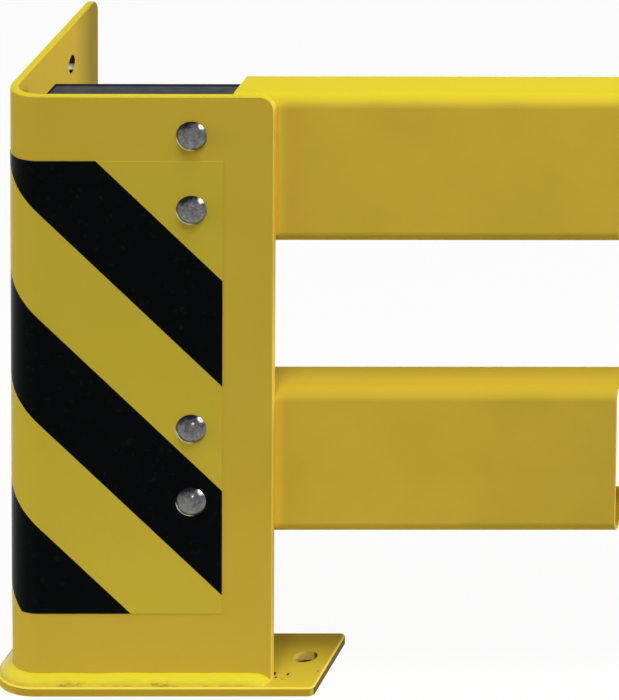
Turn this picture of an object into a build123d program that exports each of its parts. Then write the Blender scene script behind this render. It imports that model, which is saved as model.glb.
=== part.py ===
# Corner protector for a rack upright: a folded angle on a floor plate, with two guard rails
# bolted to its front leg through inner joiners, and a striped warning film round the bend.
# Millimetres. X runs along the rails, Y away from the front face, Z up from the floor.

import os
from math import pi, sqrt

from build123d import *

# Folded angle
guard_height = 400
leg_length = 175
guard_sheet = 5
bend_radius = 25
top_corner_radius = 10
rim_chamfer = 0.7

# Floor plate
plate_thickness = 6
plate_margin = 9
plate_depth = 75
plate_reach = 29.5
plate_corner_radius = 4
plate_inner_radius = 6
plate_edge_chamfer = 1
anchor_hole_diameter = 15
anchor_hole_from_leg = 12
anchor_hole_from_front = 33

# Weld along the outside of the foot
weld_leg = 6
weld_bulge = 0.7

# Square holes for the coach bolts in the front leg, and round ones in the side leg
square_hole = 9
side_hole_diameter = 12
hole_from_corner = 122.5
first_hole_drop = 26.5
hole_spacing = 50

# Guard rails, from the front leg's inside towards the next protector
rail_height = 100
rail_depth = 40
rail_sheet = 3
rail_lip = 14
rail_outer_radius = 8
rail_drop = 1.5
rail_pitch = 199
rail_start = 146
rail_length = 248.5

# Joiners, which slide in the rails
joiner_clearance = 1
joiner_back_gap = 2
joiner_sheet = 3
joiner_lip = 12
joiner_outer_radius = 6
joiner_start = 24
joiner_engagement = 110

# Packing strips between the front leg and the joiners, as thick as the rails' sheet
packing_width = 20
packing_end_margin = 12

# M8 coach bolts with washers and nuts
bolt_diameter = 8
bolt_length = 25
bolt_head_diameter = 20
bolt_head_height = 4.9
bolt_neck = 8.5
bolt_neck_depth = 4.4
bolt_dome_steps = 3
washer_diameter = 16
washer_thickness = 1.6
washer_hole = 8.4
joiner_hole = 9
nut_across_flats = 13
nut_height = 6.5
nut_bore_clearance = 0.05

# Warning film with slanting stripes
film_thickness = 0.3
film_past_holes = 20
film_drop = 43.5
film_foot_gap = 47
stripe_width = 51
stripe_gap = 50.5
stripe_count = 4
first_stripe_start = 61.5

# Where the outer corner of the angle stands, with the origin under the middle of the whole
length_over_all = plate_margin + rail_start + rail_length
depth_over_all = plate_margin + leg_length + plate_reach
floor = Plane(origin=(plate_margin - length_over_all / 2, plate_margin - depth_over_all / 2, 0))
foot = floor.offset(plate_thickness)
guard_top = plate_thickness + guard_height
rail_tops = [guard_top - rail_drop - step for step in (0, rail_pitch)]
first_holes = [guard_top - first_hole_drop - step for step in (0, rail_pitch)]
hole_heights = [first - step for first in first_holes for step in (0, hole_spacing)]

os.makedirs("parts", exist_ok=True)


def save(part, name):
    part.label = name
    export_step(part, f"parts/{name}.step")


def front_wall(x, y, z):
    # Local Z points back through the front leg
    return Plane(origin=floor.from_local_coords((x, y, z)), x_dir=(1, 0, 0), z_dir=(0, 1, 0))


def side_wall(x, y, z):
    # Local Z points inwards through the side leg
    return Plane(origin=floor.from_local_coords((x, y, z)), x_dir=(0, 1, 0), z_dir=(1, 0, 0))


def along_axis(seat):
    # Holds the seat's axis: local X is radial and local Y runs along the axis
    return Plane(origin=seat.origin, x_dir=seat.x_dir, z_dir=-seat.y_dir)


# Folded angle
with BuildPart() as corner_angle:
    with BuildSketch(foot):
        with BuildLine():
            FilletPolyline((leg_length, 0), (0, 0), (0, leg_length), radius=bend_radius)
            offset(amount=guard_sheet, side=Side.RIGHT)
        make_face()
    extrude(amount=guard_height)
    sheet_edges = corner_angle.edges().filter_by(lambda edge: abs(edge.length - guard_sheet) < 0.01)
    fillet(sheet_edges.group_by(Axis.Z)[-1], top_corner_radius)
    # The outer rim first, then the inner one: each bevel runs on round the corners to the foot
    for rim in (-1, 0):
        top_bends = corner_angle.faces().sort_by(Axis.Z)[-1].edges().filter_by(GeomType.CIRCLE)
        chamfer(top_bends.sort_by(SortBy.RADIUS)[rim], rim_chamfer)
    for height in hole_heights:
        with BuildSketch(front_wall(hole_from_corner, 0, height)):
            Rectangle(square_hole, square_hole)
        extrude(amount=guard_sheet, mode=Mode.SUBTRACT)
        with BuildSketch(side_wall(0, hole_from_corner, height)):
            Circle(side_hole_diameter / 2)
        extrude(amount=guard_sheet, mode=Mode.SUBTRACT)
save(corner_angle.part, "corner_angle")


# Floor plate: it runs out past both ends of the angle, with an anchor hole in each end
with BuildPart() as base_plate:
    far_edge = leg_length + plate_reach
    near_edge = plate_depth - plate_margin
    with BuildSketch(floor):
        with BuildLine():
            FilletPolyline(
                (-plate_margin, -plate_margin),
                (far_edge, -plate_margin),
                (far_edge, near_edge),
                (near_edge, near_edge),
                (near_edge, far_edge),
                (-plate_margin, far_edge),
                radius=(
                    bend_radius + plate_margin,
                    plate_corner_radius,
                    plate_corner_radius,
                    plate_inner_radius,
                    plate_corner_radius,
                    plate_corner_radius,
                ),
                close=True,
            )
        make_face()
    extrude(amount=plate_thickness)
    chamfer(base_plate.faces().sort_by(Axis.Z)[-1].edges(), plate_edge_chamfer)
    anchor_x = leg_length + anchor_hole_from_leg
    anchor_y = anchor_hole_from_front
    with Locations(foot):
        with Locations((anchor_x, anchor_y), (anchor_y, anchor_x)):
            Hole(anchor_hole_diameter / 2, plate_thickness)
save(base_plate.part, "base_plate")


# Fillet weld along the outside of the foot
with BuildPart() as foot_weld:
    with BuildLine(foot) as foot_line:
        FilletPolyline((leg_length, 0), (0, 0), (0, leg_length), radius=bend_radius)
    start = foot.from_local_coords((leg_length, 0, 0))
    with BuildSketch(Plane(origin=start, x_dir=(0, -1, 0), z_dir=(-1, 0, 0))):
        with BuildLine():
            toe = (weld_leg, 0)
            top = (0, weld_leg)
            bulge = weld_leg / 2 + weld_bulge / sqrt(2)
            Polyline(top, (0, 0), toe)
            ThreePointArc(toe, (bulge, bulge), top)
        make_face()
    sweep(path=foot_line.wires()[0])
save(foot_weld.part, "foot_weld")


def channel(plane, height, depth, sheet, lip, outer_radius, length):
    # Lipped channel, folded from one sheet: the web faces the front and the lips stand at the back
    with BuildPart() as profile:
        with BuildSketch(plane):
            with BuildLine():
                FilletPolyline(
                    (depth, -lip),
                    (depth, 0),
                    (0, 0),
                    (0, -height),
                    (depth, -height),
                    (depth, lip - height),
                    radius=outer_radius,
                )
                offset(amount=sheet, side=Side.LEFT)
            make_face()
        extrude(amount=length)
    return profile


def end_plane(x, y, z):
    # Local X points back from the web, local Y up, and local Z along the rails
    return Plane(origin=floor.from_local_coords((x, y, z)), x_dir=(0, 1, 0), z_dir=(1, 0, 0))


def packing_strip(middle):
    # A flat strip that fills the gap which the rail's web leaves at the bolts
    with BuildPart() as strip:
        with BuildSketch(middle):
            Rectangle(packing_width, hole_spacing + 2 * packing_end_margin)
            with Locations((0, hole_spacing / 2), (0, -hole_spacing / 2)):
                Rectangle(square_hole, square_hole, mode=Mode.SUBTRACT)
        extrude(amount=rail_sheet)
    return strip


# Guard rails behind the front leg, the joiners inside them, and the packing at the bolts
joiner_y = guard_sheet + rail_sheet
joiner_height = rail_height - 2 * (rail_sheet + joiner_clearance)
joiner_depth = rail_depth - 2 * rail_sheet - joiner_back_gap
joiner_length = rail_start - joiner_start + joiner_engagement
for row, top, first_hole in zip(("upper", "lower"), rail_tops, first_holes):
    rail = channel(
        end_plane(rail_start, guard_sheet, top),
        rail_height,
        rail_depth,
        rail_sheet,
        rail_lip,
        rail_outer_radius,
        rail_length,
    )
    save(rail.part, f"{row}_rail")
    joiner = channel(
        end_plane(joiner_start, joiner_y, top - rail_sheet - joiner_clearance),
        joiner_height,
        joiner_depth,
        joiner_sheet,
        joiner_lip,
        joiner_outer_radius,
        joiner_length,
    )
    with joiner:
        for step in (0, hole_spacing):
            with Locations(-front_wall(hole_from_corner, joiner_y, first_hole - step)):
                Hole(joiner_hole / 2, joiner_sheet)
    save(joiner.part, f"{row}_joiner")
    strip = packing_strip(front_wall(hole_from_corner, guard_sheet, first_hole - hole_spacing / 2))
    save(strip.part, f"{row}_packing")


def dome_points():
    # Points of the head's arc, in even steps from its rim to the edge of the flat crown
    radius = bolt_head_diameter / 2
    ball = (radius**2 + bolt_head_height**2) / (2 * bolt_head_height)
    points = []
    for step in range(bolt_dome_steps - 1):
        x = radius * (1 - step / bolt_dome_steps)
        points.append((x, ball - bolt_head_height - sqrt(ball**2 - x**2)))
    return points + [(radius / bolt_dome_steps, -bolt_head_height)]


def coach_bolt(seat):
    # Domed head on the outside of the seat, then a square neck and the shank through the wall
    with BuildPart() as bolt:
        with BuildSketch(along_axis(seat)):
            with BuildLine():
                Polyline((0, -bolt_head_height), (0, 0), *dome_points(), close=True)
            make_face()
        revolve(axis=Axis(seat.origin, seat.z_dir))
        with BuildSketch(seat):
            Rectangle(bolt_neck, bolt_neck)
        extrude(amount=bolt_neck_depth)
        with BuildSketch(seat):
            Circle(bolt_diameter / 2)
        extrude(amount=bolt_length)
    return bolt


def plain_washer(seat):
    with BuildPart() as washer:
        with BuildSketch(seat):
            Circle(washer_diameter / 2)
            Circle(washer_hole / 2, mode=Mode.SUBTRACT)
        extrude(amount=washer_thickness)
    return washer


def hexagon_nut(seat):
    with BuildPart() as nut:
        with BuildSketch(seat):
            RegularPolygon(nut_across_flats / 2, 6, major_radius=False)
            Circle(bolt_diameter / 2 + nut_bore_clearance, mode=Mode.SUBTRACT)
        extrude(amount=nut_height)
    return nut


# One bolt, washer and nut through each hole of the front leg
washer_y = joiner_y + joiner_sheet
nut_y = washer_y + washer_thickness
for number, height in enumerate(hole_heights, 1):
    bolt = coach_bolt(front_wall(hole_from_corner, -film_thickness, height))
    save(bolt.part, f"coach_bolt_{number}")
    washer = plain_washer(front_wall(hole_from_corner, washer_y, height))
    save(washer.part, f"washer_{number}")
    nut = hexagon_nut(front_wall(hole_from_corner, nut_y, height))
    save(nut.part, f"nut_{number}")


# Warning film, wrapped round the bend: its stripes and its yellow fields fit into each other
film_reach = hole_from_corner + film_past_holes
film_height = guard_height - film_drop - film_foot_gap
film_top = guard_top - film_drop
stripe_drop = stripe_width * sqrt(2)
stripe_pitch = (stripe_width + stripe_gap) * sqrt(2)
bend_arc = bend_radius * pi / 2
film_cut = 3 * film_thickness


def whole_film():
    # The bolts pierce it on the front leg; on the side leg it lies whole over the unused holes
    with BuildPart() as film:
        with BuildSketch(floor.offset(film_top - film_height)):
            with BuildLine():
                FilletPolyline((film_reach, 0), (0, 0), (0, film_reach), radius=bend_radius)
                offset(amount=film_thickness, side=Side.LEFT)
            make_face()
        extrude(amount=film_height)
        for height in hole_heights:
            with BuildSketch(front_wall(hole_from_corner, -film_thickness, height)):
                Rectangle(square_hole, square_hole)
            extrude(amount=film_thickness, mode=Mode.SUBTRACT)
    return film


def stripe_band(drop):
    # One slanting band, thicker than the film: across the front, up round the bend and along the side.
    # The drop is how far its upper edge lies below the film's top where the front meets the bend.
    reach = film_reach - bend_radius
    height = film_top - drop
    depth = 2 * film_cut
    bend_axis = Plane(origin=floor.from_local_coords((bend_radius, bend_radius, height)), x_dir=(0, -1, 0))
    bend_line = bend_axis * Helix(4 * bend_arc, bend_arc, bend_radius, lefthand=True)
    with BuildPart() as band:
        with BuildSketch(front_wall(bend_radius, -film_cut, height)):
            with BuildLine():
                low_end = (reach, reach + stripe_drop)
                Polyline((0, 0), (0, stripe_drop), low_end, (reach, reach), close=True)
            make_face()
        extrude(amount=depth)
        with BuildSketch(Plane(origin=bend_line @ 0, x_dir=(0, -1, 0), z_dir=(-1, 0, 0))):
            with Locations((0, -stripe_drop / 2)):
                Rectangle(depth, stripe_drop)
        sweep(path=bend_line, is_frenet=True)
        with BuildSketch(side_wall(-film_cut, bend_radius, height + bend_arc)):
            with BuildLine():
                low_end = (reach, reach - stripe_drop)
                Polyline((0, 0), (0, -stripe_drop), low_end, (reach, reach), close=True)
            make_face()
        extrude(amount=depth)
    return band


warning_film = whole_film()
with warning_film:
    for number in range(stripe_count):
        drop = bend_radius - first_stripe_start + number * stripe_pitch
        add(stripe_band(drop).part, mode=Mode.SUBTRACT)
save(warning_film.part, "warning_film")

film_stripes = whole_film()
with film_stripes:
    add(warning_film.part, mode=Mode.SUBTRACT)
save(film_stripes.part, "film_stripes")
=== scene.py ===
from math import atan2, cos, pi, radians, sin, sqrt, tan

import bmesh
import bpy
from mathutils import Matrix, Vector, noise


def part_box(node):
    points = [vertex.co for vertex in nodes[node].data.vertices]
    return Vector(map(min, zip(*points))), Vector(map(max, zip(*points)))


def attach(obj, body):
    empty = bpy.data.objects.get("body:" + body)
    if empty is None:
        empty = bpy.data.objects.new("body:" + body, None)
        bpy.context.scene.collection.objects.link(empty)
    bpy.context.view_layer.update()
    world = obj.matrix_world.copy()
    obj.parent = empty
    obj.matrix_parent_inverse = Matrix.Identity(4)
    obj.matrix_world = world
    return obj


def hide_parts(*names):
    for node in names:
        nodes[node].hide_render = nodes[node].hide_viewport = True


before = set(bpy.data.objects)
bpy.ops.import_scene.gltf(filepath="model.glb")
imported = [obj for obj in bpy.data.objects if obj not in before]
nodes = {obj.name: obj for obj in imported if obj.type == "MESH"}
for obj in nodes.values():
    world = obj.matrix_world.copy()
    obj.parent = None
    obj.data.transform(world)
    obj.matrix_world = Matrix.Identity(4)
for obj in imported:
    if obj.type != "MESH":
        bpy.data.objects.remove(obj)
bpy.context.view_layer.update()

mm = 0.001
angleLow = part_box("corner_angle")[0]
corner = Vector((angleLow.x, angleLow.y, 0))  # the angle's outer corner, on the floor
plateTop = angleLow.z
print("frame loaded,", len(nodes), "nodes")


# Shader maths: a socket that can stand in a sum
class Value:
    def __init__(self, graph, socket):
        self.graph = graph
        self.socket = socket

    def join(self, operation, *others, clamp=False):
        settings = {"operation": operation, "use_clamp": clamp}
        sockets = dict(zip(("Value", "Value_001"), others))
        return self.graph.add("Math", settings, **sockets)

    def __add__(self, other):
        return self.join("ADD", self, other)

    def __radd__(self, other):
        return self.join("ADD", other, self)

    def __sub__(self, other):
        return self.join("SUBTRACT", self, other)

    def __rsub__(self, other):
        return self.join("SUBTRACT", other, self)

    def __mul__(self, other):
        return self.join("MULTIPLY", self, other)

    def __rmul__(self, other):
        return self.join("MULTIPLY", other, self)

    def __truediv__(self, other):
        return self.join("DIVIDE", self, other)

    def most(self, other):
        return self.join("MAXIMUM", self, other)

    def root(self):
        return self.join("SQRT", self)

    def above(self, edge, width):  # 0 below the edge and 1 above it, soft over the width
        return self.join("ADD", (self - edge) / width, 0.5, clamp=True)


class Graph:  # the nodes of one material, or of the world
    def __init__(self, owner):
        owner.use_nodes = True
        self.tree = owner.node_tree
        self.tree.nodes.clear()

    def add(self, kind, settings=None, out=None, **sockets):
        node = self.tree.nodes.new("ShaderNode" + kind)
        for key, value in (settings or {}).items():
            setattr(node, key, value)
        for key, value in sockets.items():
            entry = self.find(node.inputs, key)
            if isinstance(value, Value):
                self.tree.links.new(value.socket, entry)
            else:
                entry.default_value = value
        if not node.outputs:
            return None
        return Value(self, node.outputs[0] if out is None else self.find(node.outputs, out))

    def find(self, sockets, key):
        wanted = key.replace(" ", "_")
        return next(each for each in sockets if each.identifier.replace(" ", "_") == wanted)

    def place(self):
        return self.add("TexCoord", out="Object")

    def along(self, axis):  # metres along X, Y or Z in the row frame
        return self.add("SeparateXYZ", out=axis, Vector=self.place())

    def facing(self, axis):  # how far the surface faces along X, Y or Z
        return self.add("SeparateXYZ", out=axis, Vector=self.add("TexCoord", out="Normal"))

    def noise(self, scale, detail=2.0, rough=0.5, stretch=(1, 1, 1)):
        spot = self.add("Mapping", Vector=self.place(), Scale=stretch)
        return self.add("TexNoise", Vector=spot, Scale=scale, Detail=detail, Roughness=rough)

    def blend(self, mask, first, second):
        sockets = {"Factor_Float": mask, "A_Color": first, "B_Color": second}
        return self.add("Mix", {"data_type": "RGBA"}, "Result_Color", **sockets)

    def bump(self, height, depth):
        return self.add("Bump", Height=height, Distance=depth)

    def rays(self, first, *others):  # 1 for any of these kinds of ray
        seen = self.add("LightPath", out=first)
        for kind in others:
            seen = seen.most(self.add("LightPath", out=kind))
        return seen


def colour(red, green, blue):  # written as the eye reads it, 0 to 255
    levels = [level / 255 for level in (red, green, blue)]
    return tuple(x / 12.92 if x < 0.04 else ((x + 0.055) / 1.055) ** 2.4 for x in levels) + (1,)


def newMaterial(name, makeSurface, *options):
    material = bpy.data.materials.new(name)
    graph = Graph(material)
    graph.add("OutputMaterial", Surface=makeSurface(graph, *options))
    return material


# Yellow powder coat, on the angle, the floor plate, the weld and the rails
coat = {
    "face": colour(217, 186, 64),
    "cloud": colour(209, 177, 57),
    # painted light: a lighter, more lemon tone for up-facing faces high on the object
    "paintedTopLight": colour(217, 197, 42),
    "topsFrom": 250 * mm,
    "topsFade": 20 * mm,
    "roughness": 0.32,
    "roughScale": 60,
    "roughRange": 0.1,
    "cloudScale": 14,
    "cloudStrength": 0.6,
    "peelScale": 900,
    "peelDepth": 0.03 * mm,
    "shine": 0.015,
}


def faceUp(graph):
    return graph.facing("Z").above(0.6, 0.8)


def highUp(graph):
    return graph.along("Z").above(coat["topsFrom"], coat["topsFade"])


# Clouds vary the coat's tone at random; up-facing faces high on the object get painted light, a
# lighter and more lemon tone
def coatColour(graph, face=coat["face"]):
    clouds = graph.noise(coat["cloudScale"], 4, 0.6).above(0.5, 0.5)
    colours = graph.blend(clouds * coat["cloudStrength"], face, coat["cloud"])
    return graph.blend(faceUp(graph) * highUp(graph), colours, coat["paintedTopLight"])


def coatSurface(graph, base, metal=0.0, shine=coat["shine"], gloss=0.0):
    peel = graph.noise(coat["peelScale"], 2, 0.5)
    grease = graph.noise(coat["roughScale"], 4, 0.6)
    return graph.add(
        "BsdfPrincipled",
        Base_Color=base,
        Metallic=metal,
        Roughness=grease * coat["roughRange"] + (coat["roughness"] - gloss),
        Normal=graph.bump(peel, coat["peelDepth"]),
        Specular_IOR_Level=shine,
    )


railLook = {
    "face": colour(230, 196, 68),
    # painted light beside the leg, and painted shade on the lower rail's top
    "paintedLightBesideLeg": colour(240, 203, 66),
    "paintedShadeLowerTop": colour(206, 173, 48),
    "upTo": 179 * mm,
    "fadeOver": 6 * mm,
}


# The rails have a painted highlight in a narrow band beside the leg, light reflected from it, and
# painted shade on the lower one's top under the upper rail
def railCoat(graph):
    beside = 1 - graph.along("X").above(corner.x + railLook["upTo"], railLook["fadeOver"])
    beside = beside * (1 - graph.facing("Y").above(-0.9, 0.2))
    paintedShadeLowerTop = faceUp(graph) * (1 - highUp(graph))
    base = graph.blend(beside, coatColour(graph, railLook["face"]), railLook["paintedLightBesideLeg"])
    return coatSurface(graph, graph.blend(paintedShadeLowerTop, base, railLook["paintedShadeLowerTop"]))


# The angle: painted shade and highlights on the coat, and metal bores in painted shade with a
# painted highlight
angleLook = {
    "sheet": 5 * mm,
    # painted shade and a painted highlight on the bore walls
    "boreWallShade": colour(40, 34, 30),
    "boreWallHighlight": colour(250, 248, 240),
    "boreRadius": 6 * mm,
    "boreFromCorner": 122.5 * mm,
    "boreHeights": [379.5 * mm, 329.5 * mm, 180.5 * mm, 130.5 * mm],
    "boreLightFrom": -5.1 * mm,
    "boreLightTo": -3.0 * mm,
    "duskFrom": 145 * mm,
    "duskOver": 32 * mm,
    # painted shade towards the side leg's rear edge
    "dusk": colour(158, 134, 36),
    "endFrom": 173 * mm,
    # painted highlight on the leg's +X edge face
    "endLight": colour(240, 208, 84),
    # a less blue copy of the coat for the inner faces, painted against the sheen they catch
    "innerFace": colour(217, 185, 46),
}


def angleCoat(graph):
    across, up = graph.along("Y"), graph.along("Z")
    away = across - (corner.y + angleLook["boreFromCorner"])
    boreMask, bright = 0.0, 0.0
    for height in angleLook["boreHeights"]:
        rise = up - height
        radius = (away * away + rise * rise).root()
        inside = 1 - radius.above(angleLook["boreRadius"] + 0.1 * mm, 0.2 * mm)
        band = rise.above(angleLook["boreLightFrom"], 0.6 * mm)
        band = inside * band * (1 - rise.above(angleLook["boreLightTo"], 2.8 * mm))
        boreMask = inside.most(boreMask)
        bright = band.most(bright)
    boreMask = boreMask * (1 - graph.along("X").above(corner.x + angleLook["sheet"] + 3 * mm, 1 * mm))
    inner = graph.facing("X").above(0.7, 0.4)
    # painted shade towards the side leg's rear edge
    dusk = across.above(corner.y + angleLook["duskFrom"], angleLook["duskOver"]) * inner
    # painted highlight on the leg's +X edge face
    end = graph.along("X").above(corner.x + angleLook["endFrom"], 1 * mm)
    end = end * graph.facing("X").above(0.5, 0.4)
    # the inner faces get the less blue copy, painted against their sheen
    painted = graph.blend(inner, coatColour(graph), coatColour(graph, angleLook["innerFace"]))
    painted = graph.blend(dusk, painted, angleLook["dusk"])
    painted = graph.blend(end, painted, angleLook["endLight"])
    # the bores: metal in painted shade, with a painted highlight band low in each
    boreLightAndShade = graph.blend(bright, angleLook["boreWallShade"], angleLook["boreWallHighlight"])
    return coatSurface(graph, graph.blend(boreMask, painted, boreLightAndShade), metal=boreMask)


# The floor plate: painted shade on its side faces, a painted highlight on the chamfer, painted
# light and shade in the anchor bores, and pinholes beside the weld's end
plateLook = {
    "top": colour(208, 183, 50),
    # painted shade on the front and end faces, and a painted highlight on the chamfer
    "front": colour(192, 164, 48),
    "end": colour(112, 94, 40),
    "chamfer": colour(240, 212, 84),
    "speckDark": colour(34, 20, 6),
    "speckDepth": 1.7,
    # painted light on the anchor bore walls, with painted shade towards their right
    "paintedBoreLight": colour(240, 210, 104),
    "paintedBoreShade": colour(74, 56, 24),
    "boreDarkFrom": 4.5 * mm,
    "boreRadius": 7.5 * mm,
    "boreSpots": [(187 * mm, 33 * mm), (33 * mm, 187 * mm)],
    "specks": [
        (173.4 * mm, 9.9 * mm, 1.3 * mm),
        (176.1 * mm, 4.9 * mm, 0.7 * mm),
        (182.7 * mm, 9.3 * mm, 0.9 * mm),
        (180.8 * mm, 2.6 * mm, 0.4 * mm),
        (201.0 * mm, 13.6 * mm, 0.5 * mm),
    ],
}


# Metres from an upright line, whose spot is counted from the angle's corner
def awayFrom(graph, x, y, depth=1.0):
    across = graph.along("X") - (corner.x + x)
    back = (graph.along("Y") - (corner.y + y)) / depth
    return (across * across + back * back).root()


def plateCoat(graph):
    up = graph.facing("Z")
    top = coatColour(graph, plateLook["top"])
    # painted shade on the front and +X end faces, and a painted highlight on the chamfer
    base = graph.blend(graph.facing("Y").above(-0.9, 0.1), plateLook["front"], top)
    base = graph.blend(graph.facing("X").above(0.9, 0.1), base, plateLook["end"])
    base = graph.blend(up.above(0.5, 0.2) * (1 - up.above(0.9, 0.08)), base, plateLook["chamfer"])
    for x, y, size in plateLook["specks"]:
        outside = awayFrom(graph, x, y, plateLook["speckDepth"]).above(size, 0.5 * mm)
        base = graph.blend(outside, plateLook["speckDark"], base)
    # anchor bores: painted light on the wall, painted shade towards the right
    for x, y in plateLook["boreSpots"]:
        outside = awayFrom(graph, x, y).above(plateLook["boreRadius"] + 0.15 * mm, 0.2 * mm)
        wall = graph.along("X").above(corner.x + x + plateLook["boreDarkFrom"], 2 * mm)
        wall = graph.blend(wall, plateLook["paintedBoreLight"], plateLook["paintedBoreShade"])
        base = graph.blend(outside, wall, base)
    return coatSurface(graph, base)


# Warning film, glossy and printed in two colours
film = {
    "yellow": colour(212, 188, 60),
    "black": colour(3, 6, 7),
    "dust": colour(120, 112, 88),
    "dustScale": 240,
    "dustStrength": 0.05,
    "smearScale": 34,
    "smearRange": 0.12,
    "roughness": 0.17,
    "waveScale": 22,
    "waveDepth": 0.12 * mm,
    "shine": 0.025,
}


def filmSurface(graph, ink):
    dust = graph.noise(film["dustScale"], 5, 0.65).above(0.68, 0.2) * film["dustStrength"]
    smears = graph.noise(film["smearScale"], 3, 0.6, (1, 1, 0.4))
    return graph.add(
        "BsdfPrincipled",
        Base_Color=graph.blend(dust, ink, film["dust"]),
        Roughness=film["roughness"] + smears * film["smearRange"],
        Normal=graph.bump(graph.noise(film["waveScale"], 2), film["waveDepth"]),
        Specular_IOR_Level=film["shine"],
    )


# Dark coat on the joiners, with painted shade along their rear and left edges
joinerCoat = {
    "face": colour(70, 73, 77),
    "worn": colour(55, 58, 61),
    # painted shade along the rear and left edges
    "edge": colour(12, 9, 14),
    "rearEdge": 9.0 * mm,
    "leftEdge": 2.0 * mm,
    "wearScale": 70,
    "wearRoughness": 0.12,
    "grainScale": 700,
    "grainDepth": 0.04 * mm,
    "roughness": 0.5,
    "shine": 0.03,
}


def darkCoat(graph):
    low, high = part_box("upper_joiner")
    wear = graph.noise(joinerCoat["wearScale"], 5, 0.65).above(0.5, 0.4)
    grain = graph.noise(joinerCoat["grainScale"], 3, 0.6)
    edgeShade = graph.along("Y").above(high.y - joinerCoat["rearEdge"], 1 * mm)
    edgeShade = edgeShade.most(1 - graph.along("X").above(low.x + joinerCoat["leftEdge"], 0.5 * mm))
    base = graph.blend(wear, joinerCoat["face"], joinerCoat["worn"])
    return graph.add(
        "BsdfPrincipled",
        Base_Color=graph.blend(edgeShade, base, joinerCoat["edge"]),
        Roughness=joinerCoat["roughness"] + wear * joinerCoat["wearRoughness"],
        Normal=graph.bump(grain, joinerCoat["grainDepth"]),
        Specular_IOR_Level=joinerCoat["shine"],
    )


# Zinc on the fasteners: mottled on the bolt heads, with painted reflections and highlights there,
# brighter behind the leg
zinc = {
    "headDark": colour(62, 60, 70),
    "headLight": colour(134, 134, 129),
    # painted dark reflection along the top, and painted highlights low on the left and high on the
    # right of the heads
    "darkTopReflection": colour(20, 18, 26),
    "paintedRimHighlight": colour(255, 252, 226),
    "paintedSpotHighlight": colour(255, 254, 248),
    "bright": colour(176, 178, 180),
    "dull": colour(128, 130, 132),
    "patchScale": 240,
    "crystalScale": 1100,
    "relief": 0.04 * mm,
    "headRelief": 0.02 * mm,
    "roughness": 0.3,
    "mottleRoughness": 0.12,
    "headRoughness": 0.17,
    "headMottleRoughness": 0.06,
    # directions of the painted highlights and of the painted dark reflection on the heads
    "rimTowards": (-0.6, 0, -0.8),
    "rimFrom": 0.43,
    "spotTowards": (0.55, -0.61, 0.57),
    "spotFrom": 0.984,
    "darkTopTowards": (-0.35, 0, 0.9),
    "darkTopFrom": 0.96,
}


def zincMottle(graph):
    patches = graph.noise(zinc["patchScale"], 4, 0.6, (1, 1, 0.6))
    settings, scale = {"feature": "F1"}, zinc["crystalScale"]
    crystals = graph.add("TexVoronoi", settings, "Color", Vector=graph.place(), Scale=scale)
    fleck = graph.add("SeparateColor", Color=crystals)
    return patches, (patches * 0.8 + fleck * 0.2).above(0.5, 0.34)


def zincPlate(graph):
    patches, mottle = zincMottle(graph)
    return graph.add(
        "BsdfPrincipled",
        Base_Color=graph.blend(mottle, zinc["dull"], zinc["bright"]),
        Metallic=1.0,
        Roughness=zinc["roughness"] + mottle * zinc["mottleRoughness"],
        Normal=graph.bump(patches, zinc["relief"]),
    )


def facingTowards(graph, direction):
    x, y, z = (graph.facing(axis) for axis in "XYZ")
    return x * direction[0] + y * direction[1] + z * direction[2]


# Domes with a painted dark reflection along the top, a painted highlight high on the right and a
# pale painted highlight on the rim low on the left
def headZinc(graph):
    patches, mottle = zincMottle(graph)
    x, z = graph.facing("X"), graph.facing("Z")
    # painted highlight: a pale rim low on the left
    paintedRimHighlight = (x * x + z * z).above(zinc["rimFrom"], 0.05)
    paintedRimHighlight = paintedRimHighlight * facingTowards(graph, zinc["rimTowards"]).above(0.5, 0.12)
    # painted highlight: a bright spot high on the right
    paintedSpotHighlight = facingTowards(graph, zinc["spotTowards"]) + (patches - 0.5) * 0.03
    paintedSpotHighlight = paintedSpotHighlight.above(zinc["spotFrom"], 0.03)
    # painted dark reflection: the dome darkens towards the top, with blotches from the patches
    darkTopReflection = facingTowards(graph, zinc["darkTopTowards"]) + patches * 0.8
    darkTopReflection = darkTopReflection.above(zinc["darkTopFrom"], 0.14)
    metal = graph.blend(mottle * 0.6 - z * 0.5 + 0.2, zinc["headDark"], zinc["headLight"])
    metal = graph.blend(darkTopReflection * 0.9, metal, zinc["darkTopReflection"])
    metal = graph.blend(paintedSpotHighlight, metal, zinc["paintedSpotHighlight"])
    return graph.add(
        "BsdfPrincipled",
        Base_Color=graph.blend(paintedRimHighlight, metal, zinc["paintedRimHighlight"]),
        Metallic=1 - paintedRimHighlight,
        Roughness=zinc["headRoughness"] + mottle * zinc["headMottleRoughness"],
        Normal=graph.bump(patches, zinc["headRelief"]),
    )


def paint(name, material):
    node = nodes[name]
    node.data.materials.clear()
    node.data.materials.append(material)


paint("corner_angle", newMaterial("coatOnTheAngle", angleCoat))
paint("base_plate", newMaterial("coatOnTheFloorPlate", plateCoat))
railPaint = newMaterial("coatOnTheRails", railCoat)
paint("upper_rail", railPaint)
paint("lower_rail", railPaint)
paint("warning_film", newMaterial("yellowFilm", filmSurface, film["yellow"]))
paint("film_stripes", newMaterial("blackFilm", filmSurface, film["black"]))
joinerPaint = newMaterial("darkCoatOnTheJoiners", darkCoat)
paint("upper_joiner", joinerPaint)
paint("lower_joiner", joinerPaint)
nutZinc = newMaterial("zincOnTheNuts", zincPlate)
boltZinc = newMaterial("zincOnTheBoltHeads", headZinc)
paint("upper_packing", nutZinc)
paint("lower_packing", nutZinc)
print("finishes done")


# Mesh tools
sharpFrom = 32  # degrees between two faces


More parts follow.
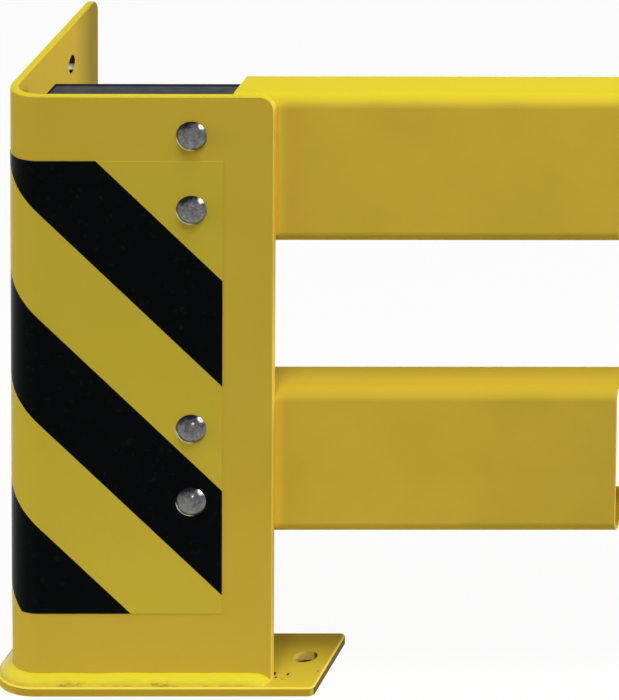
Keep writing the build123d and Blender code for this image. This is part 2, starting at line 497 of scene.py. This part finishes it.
def newPiece(name, build, material, replaced):
    mesh = bpy.data.meshes.new(name)
    bm = bmesh.new()
    build(bm)
    bmesh.ops.recalc_face_normals(bm, faces=bm.faces)
    bm.to_mesh(mesh)
    bm.free()
    piece = bpy.data.objects.new(name, mesh)
    bpy.context.scene.collection.objects.link(piece)
    mesh.materials.append(material)
    mesh.shade_smooth()
    mesh.set_sharp_from_angle(angle=radians(sharpFrom))
    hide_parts(replaced)
    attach(piece, "root")


def skin(bm, rings, closed=True):  # quads between rings of points, with the ends filled
    rows = [[bm.verts.new(point) for point in ring] for ring in rings]
    for low, high in zip(rows, rows[1:]):
        if len(low) == 1 or len(high) == 1:
            tip, ring = (low[0], high) if len(low) == 1 else (high[0], low)
            for one, two in zip(ring, ring[1:] + ring[:1]):
                bm.faces.new((tip, one, two))
            continue
        for i in range(len(low)):
            j = (i + 1) % len(low)
            bm.faces.new((low[i], low[j], high[j], high[i]))
    if closed:
        for row in (rows[0], rows[-1]):
            if len(row) > 2:
                bm.faces.new(row)
    return rows


def loop(bm, rings):  # quads between rings, with the last joined to the first
    rows = skin(bm, rings, closed=False)
    first, last = rows[0], rows[-1]
    for i in range(len(first)):
        j = (i + 1) % len(first)
        bm.faces.new((last[i], last[j], first[j], first[i]))


def ringAt(seat, depth, radius, count):  # a circle round a bolt's axis, which runs along Y
    turns = [2 * pi * i / count for i in range(count)]
    return [seat + Vector((radius * cos(turn), depth, radius * sin(turn))) for turn in turns]


# Weld bead along the outside of the foot
bead = {
    "wide": 7.6 * mm,
    "high": 5.7 * mm,
    "bulge": 0.9 * mm,
    "straight": 150 * mm,
    "bend": 25 * mm,
    "step": 0.45 * mm,
    "ripplePitch": 2.3 * mm,
    "rippleDepth": 0.07 * mm,
    "lump": 0.3 * mm,
    "lumpScale": 160,
    "sway": 0.5 * mm,
    "widthScale": 55,
    "heightScale": 48,
    "endWidth": 9 * mm,
    "endHeight": 18 * mm,
    "endShare": 0.25,
    "sunk": 0.1 * mm,
    "points": 12,
    "shine": 0.3,
    "gloss": 0.14,
    # a lighter top and a darker foot: painted light on the up-facing faces
    "top": colour(219, 204, 44),
    "foot": colour(198, 166, 48),
    "soot": colour(112, 86, 26),
    "sootScale": 700,
    "sootStrength": 0.65,
    "sootHeight": 2.4 * mm,
    "sootSpots": [(47 * mm, 9 * mm), (104 * mm, 6 * mm)],
}


def beadCoat(graph):  # thicker and glossier than elsewhere, with soot caught along the toe
    across = graph.along("X")
    near = 0.0
    for middle, half in bead["sootSpots"]:
        gap = across - (corner.x + middle)
        near = (1 - gap.most(0 - gap).above(half, 3 * mm)).most(near)
    low = 1 - graph.along("Z").above(plateTop + bead["sootHeight"], 1.6 * mm)
    low = low * (1 - graph.facing("Y").above(-0.2, 0.2))
    soot = graph.noise(bead["sootScale"], 4, 0.7, (0.5, 1, 1)).above(0.53, 0.14)
    # painted light: up-facing faces of the bead take the lighter top colour
    base = graph.blend(graph.facing("Z").above(0.55, 0.5), bead["foot"], bead["top"])
    base = graph.blend(near * low * soot * bead["sootStrength"], base, bead["soot"])
    return coatSurface(graph, base, shine=bead["shine"], gloss=bead["gloss"])


def beadPath(distance):  # the spot on the foot's outer line, and the way out from it
    arc = bead["bend"] * pi / 2
    far = bead["bend"] + bead["straight"]
    if distance < bead["straight"]:
        return Vector((far - distance, 0, 0)), Vector((0, -1, 0))
    if distance < bead["straight"] + arc:
        turn = (distance - bead["straight"]) / bead["bend"]
        out = Vector((-sin(turn), -cos(turn), 0))
        return Vector((bead["bend"], bead["bend"], 0)) + out * bead["bend"], out
    rest = distance - bead["straight"] - arc
    return Vector((0, bead["bend"] + rest, 0)), Vector((-1, 0, 0))


def taper(near, reach):
    return sqrt(1 - (1 - near / reach) ** 2) if near < reach else 1.0


def beadRing(distance, length):
    spot, out = beadPath(distance)
    origin = corner + spot + Vector((0, 0, plateTop))
    near = min(distance, length - distance)
    slim = taper(near, bead["endWidth"])
    low = bead["endShare"] + (1 - bead["endShare"]) * taper(near, bead["endHeight"])
    widthSway = bead["sway"] * noise.noise((distance * bead["widthScale"], 1.3, 0))
    heightSway = bead["sway"] * noise.noise((distance * bead["heightScale"], 7.1, 0))
    wide = (bead["wide"] + widthSway) * slim
    high = (bead["high"] + heightSway) * slim * low
    sunk = Vector((0, 0, -bead["sunk"]))
    ring = [origin - out * bead["sunk"] + sunk, origin + out * wide + sunk]
    for i in range(bead["points"]):
        t = i / (bead["points"] - 1)
        swell = 4 * t * (1 - t) * slim
        phase = pi * (distance / bead["ripplePitch"] + 0.9 * (t - 0.5) ** 2)
        ripple = bead["rippleDepth"] * (abs(sin(phase)) - 0.6)
        lump = bead["lump"] * noise.noise((distance * bead["lumpScale"], t * 2, 4.2))
        push = (bead["bulge"] * low + ripple + lump) * swell / sqrt(2)
        ring.append(origin + out * (wide * (1 - t) + push) + Vector((0, 0, high * t + push)))
    ring.append(origin - out * bead["sunk"] + Vector((0, 0, high)))
    return ring


def buildBead(bm):
    length = 2 * bead["straight"] + bead["bend"] * pi / 2
    count = round(length / bead["step"])
    rings = [beadRing(length * i / count, length) for i in range(1, count)]
    ends = [corner + beadPath(s)[0] + Vector((0, 0, plateTop)) for s in (0, length)]
    skin(bm, [[ends[0]], *rings, [ends[1]]])


weldPaint = newMaterial("coatOnTheWeld", beadCoat)
newPiece("weldBead", buildBead, weldPaint, "foot_weld")
print("weld done")


# Coach bolts: smooth domed heads, square necks and threaded shanks
bolt = {
    "headRadius": 10 * mm,
    "headHeight": 4.9 * mm,
    "edgeRound": 0.45 * mm,
    "crownRings": 15,
    "rimRings": 6,
    "neck": 8.5 * mm,
    "neckCorner": 0.5 * mm,
    "neckDepth": 4.4 * mm,
    "threadRadius": 3.98 * mm,
    "threadDepth": 0.62 * mm,
    "threadStep": 0.16 * mm,
    "threadSegments": 36,
    "pitch": 1.25 * mm,
    "length": 25 * mm,
    "chamfer": 0.7 * mm,
    "segments": 72,
}


def headProfile():  # depth and radius, from the crown to the rim and along the underside
    radius, height, edge = bolt["headRadius"], bolt["headHeight"], bolt["edgeRound"]
    ball = (radius**2 + height**2) / (2 * height)
    widest = atan2(radius - edge, ball - height)
    points = []
    for i in range(1, bolt["crownRings"]):
        turn = widest * i / bolt["crownRings"]
        points.append((ball - height - ball * cos(turn), ball * sin(turn)))
    rimDepth, rimRadius = ball - height - ball * cos(widest), ball * sin(widest)
    for i in range(bolt["rimRings"] + 1):
        t = i / bolt["rimRings"]
        around = rimRadius * (1 - t) ** 2 + 2 * t * (1 - t) * radius + t**2 * (radius - edge)
        points.append((rimDepth * (1 - t) ** 2, around))
    return points


def buildBolt(bm, seat):
    count = bolt["segments"]
    rings = [[seat + Vector((0, -bolt["headHeight"], 0))]]
    rings += [ringAt(seat, depth, radius, count) for depth, radius in headProfile()]
    half, cut = bolt["neck"] / 2, bolt["neckCorner"]
    rings += [ringAt(seat, 0, half + 0.25 * mm, count), [seat]]
    skin(bm, rings)
    square = [(half, half - cut), (half - cut, half), (cut - half, half), (-half, half - cut)]
    square += [(-half, cut - half), (cut - half, -half), (half - cut, -half), (half, cut - half)]
    necks = [[seat + Vector((x, y, z)) for x, z in square] for y in (-0.2 * mm, bolt["neckDepth"])]
    skin(bm, necks)
    buildThread(bm, seat)


def buildThread(bm, seat):
    start, end = bolt["neckDepth"] - 0.3 * mm, bolt["length"]
    steps = round((end - start) / bolt["threadStep"])
    around = bolt["threadSegments"]
    rings = []
    for i in range(steps + 1):
        depth = start + (end - start) * i / steps
        tip = max(0.0, depth - (end - bolt["chamfer"]))
        ring = []
        for j in range(around):
            turn = 2 * pi * j / around
            phase = (depth / bolt["pitch"] - j / around) % 1
            groove = bolt["threadDepth"] * min(1.0, 2.3 * abs(phase - 0.5))
            radius = min(bolt["threadRadius"] - groove, bolt["threadRadius"] - tip)
            ring.append(seat + Vector((radius * cos(turn), depth, radius * sin(turn))))
        rings.append(ring)
    skin(bm, rings)


# Nuts with chamfered corners, and washers with broken edges
nut = {
    "apothem": 6.5 * mm,
    "height": 6.5 * mm,
    "bore": 3.7 * mm,
    "boreChamfer": 0.5 * mm,
    "slope": 30,
    "circleShare": 0.97,
    "segments": 72,
}


def buildNut(bm, seat):
    flat, tall = nut["apothem"], nut["height"]
    circle = flat * nut["circleShare"]
    count = nut["segments"]

    def radiusAt(i):
        around = (360 / count * i + 30) % 60 - 30
        return flat / cos(radians(around))

    def hexRing(lift):
        ring = []
        for i in range(count):
            turn = radians(360 / count * i)
            radius = radiusAt(i)
            drop = (radius - circle) * tan(radians(nut["slope"]))
            depth = drop if lift == 0 else tall - drop
            ring.append(seat + Vector((radius * cos(turn), depth, radius * sin(turn))))
        return ring

    bore, chamfer = nut["bore"], nut["boreChamfer"]
    rings = [
        ringAt(seat, chamfer, bore, count),
        ringAt(seat, 0, bore + chamfer, count),
        ringAt(seat, 0, circle, count),
        hexRing(0),
        hexRing(1),
        ringAt(seat, tall, circle, count),
        ringAt(seat, tall, bore + chamfer, count),
        ringAt(seat, tall - chamfer, bore, count),
    ]
    loop(bm, rings)


washer = {
    "radius": 8 * mm,
    "hole": 4.2 * mm,
    "thickness": 1.6 * mm,
    "edge": 0.25 * mm,
    "segments": 72,
}


def buildWasher(bm, seat):
    radius, hole, tall, edge = washer["radius"], washer["hole"], washer["thickness"], washer["edge"]
    profile = [
        (edge, hole),
        (0, hole + edge),
        (0, radius - edge),
        (edge, radius),
        (tall - edge, radius),
        (tall, radius - edge),
        (tall, hole + edge),
        (tall - edge, hole),
    ]
    loop(bm, [ringAt(seat, depth, ring, washer["segments"]) for depth, ring in profile])


def seatOf(name, depth=0.0):
    low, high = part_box(name)
    return Vector(((low.x + high.x) / 2, low.y + depth, (low.z + high.z) / 2))


def fasten(name, number, build, material, node, depth=0.0):
    replaced = f"{node}_{number}"
    seat = seatOf(replaced, depth)
    newPiece(f"{name}{number}", lambda bm: build(bm, seat), material, replaced)


for number in range(1, 5):
    fasten("coachBolt", number, buildBolt, boltZinc, "coach_bolt", bolt["headHeight"])
    fasten("washer", number, buildWasher, nutZinc, "washer")
    fasten("nut", number, buildNut, nutZinc, "nut")
print("fasteners done")


# Floor, background and lamps
studio = {
    "floorSize": 9.0,
    "floorColour": (0.5, 0.5, 0.5, 1),
    "floorPatch": (0.46, 0.46, 0.46, 1),
    "patchScale": 3,
    # painted shade where the floor shows through the anchor bores
    "paintedShadeInHoles": (0.06, 0.045, 0.02, 1),
    "darkRadius": 9 * mm,
    "floorGlow": 0.9,
    "glowStrength": 1.05,
    "skyLevel": 0.12,
}


def paleFloor(graph):  # white to the camera and in reflections, with a faint shadow of the object
    patches = graph.noise(studio["patchScale"])
    shade = graph.blend(patches, studio["floorColour"], studio["floorPatch"])
    seen = graph.rays("Is Camera Ray", "Is Glossy Ray")
    # painted shade: the floor stays dark where it shows through the anchor bores
    for x, y in plateLook["boreSpots"]:  # it stays dark where it shows through the plate
        outside = awayFrom(graph, x, y).above(studio["darkRadius"], 1 * mm)
        shade = graph.blend(outside, studio["paintedShadeInHoles"], shade)
        seen = seen * outside
    lit = graph.add("BsdfPrincipled", Base_Color=shade, Roughness=0.9, Specular_IOR_Level=0.0)
    glow = graph.add("Emission", Color=(1, 1, 1, 1), Strength=studio["glowStrength"])
    return graph.add("MixShader", Fac=seen * studio["floorGlow"], Shader=lit, Shader_001=glow)


def makeFloor():
    half = studio["floorSize"] / 2
    mesh = bpy.data.meshes.new("studioFloor")
    spots = [(-half, -half, 0), (half, -half, 0), (half, half, 0), (-half, half, 0)]
    mesh.from_pydata(spots, [], [(0, 1, 2, 3)])
    mesh.materials.append(newMaterial("paleFloor", paleFloor))
    floor = bpy.data.objects.new("studioFloor", mesh)
    bpy.context.scene.collection.objects.link(floor)


def makeBackground():
    world = bpy.data.worlds.new("whiteStudio")
    bpy.context.scene.world = world
    graph = Graph(world)
    seen = graph.rays("Is Camera Ray", "Is Glossy Ray", "Is Transmission Ray")
    level = studio["skyLevel"] + seen * (1 - studio["skyLevel"])
    graph.add("OutputWorld", Surface=graph.add("Background", Color=(1, 1, 1, 1), Strength=level))


# Glossy surfaces show only the lamps that are mirrored, so each bolt head has one bright spot
lamps = {
    "overheadSoftbox": {
        "kind": "AREA",
        "place": (0.1, -0.55, 1.75),
        "aim": (0.0, -0.05, 0.3),
        "size": 0.6,
        "power": 18,
        "tint": (0.97, 1.0, 0.94),
        "mirrored": False,
    },
    "keySoftbox": {
        "kind": "AREA",
        "place": (1.2, -0.7, 1.6),
        "aim": (0.0, 0.0, 0.2),
        "size": 0.4,
        "power": 7,
        "tint": (1.0, 0.99, 0.96),
        "mirrored": True,
    },
    "sideSoftbox": {
        "kind": "AREA",
        "place": (2.2, 0.1, 0.7),
        "aim": (0.0, 0.0, 0.2),
        "size": 0.6,
        "power": 20,
        "tint": (1.0, 0.96, 0.9),
        "mirrored": True,
    },
    "leftSoftbox": {
        "kind": "AREA",
        "place": (-2.2, -0.5, 0.7),
        "aim": (-0.1, 0.0, 0.2),
        "size": 0.8,
        "power": 18,
        "tint": (1.0, 0.97, 0.93),
        "mirrored": False,
    },
    "footSpot": {
        "kind": "SPOT",
        "place": (0.1, -2.2, 1.0),
        "aim": (-0.1, -0.14, -0.03),
        "size": 0.2,
        "spread": 13,
        "power": 65,
        "tint": (1.0, 0.97, 0.93),
        "mirrored": True,
    },
}


def makeLamp(name, lamp):
    light = bpy.data.lights.new(name, lamp["kind"])
    if lamp["kind"] == "AREA":
        light.shape = "SQUARE"
        light.size = lamp["size"]
    else:
        light.shadow_soft_size = lamp["size"]
        light.spot_size = radians(lamp["spread"])
        light.spot_blend = 1.0
    light.energy = lamp["power"]
    light.color = lamp["tint"]
    holder = bpy.data.objects.new(name, light)
    holder.location = lamp["place"]
    beam = Vector(lamp["aim"]) - holder.location
    holder.rotation_euler = beam.to_track_quat("-Z", "Y").to_euler()
    holder.visible_glossy = lamp["mirrored"]
    bpy.context.scene.collection.objects.link(holder)


# The photo was straightened after it was taken: its uprights stand parallel and its level edges
# lean a little. A plain camera can't do both, so the camera hangs on a rig whose side and up
# directions aren't quite square to each other.
view = {
    "turn": 16.27,
    "lift": 23.48,
    "distance": 3.765,
    "aim": (0.1983, 0, 0.2345),
    "lens": 300.24,
    "side": (0.99979, -0.0183, 0.00897),
    "up": (-0.05284, 0.16278, 0.98525),
}


def makeCamera():
    turn, lift = radians(view["turn"]), radians(view["lift"])
    back = Vector((sin(turn) * cos(lift), -cos(turn) * cos(lift), sin(lift)))
    place = corner + Vector(view["aim"]) + back * view["distance"]
    lens = bpy.data.cameras.new("photoCamera")
    lens.lens = view["lens"]
    lens.clip_end = 100
    camera = bpy.data.objects.new("photoCamera", lens)
    rig = bpy.data.objects.new("cameraRig", None)
    for each in (rig, camera):
        bpy.context.scene.collection.objects.link(each)
    camera.parent = rig
    rows = ((*view["side"], 0), (*view["up"], 0), (*back, 0), (*place, 1))
    camera.matrix_parent_inverse = Matrix(rows).transposed()
    bpy.context.scene.camera = camera


makeFloor()
makeBackground()
for name, lamp in lamps.items():
    makeLamp(name, lamp)
makeCamera()
bpy.context.scene.view_settings.view_transform = "Standard"
print("studio done")
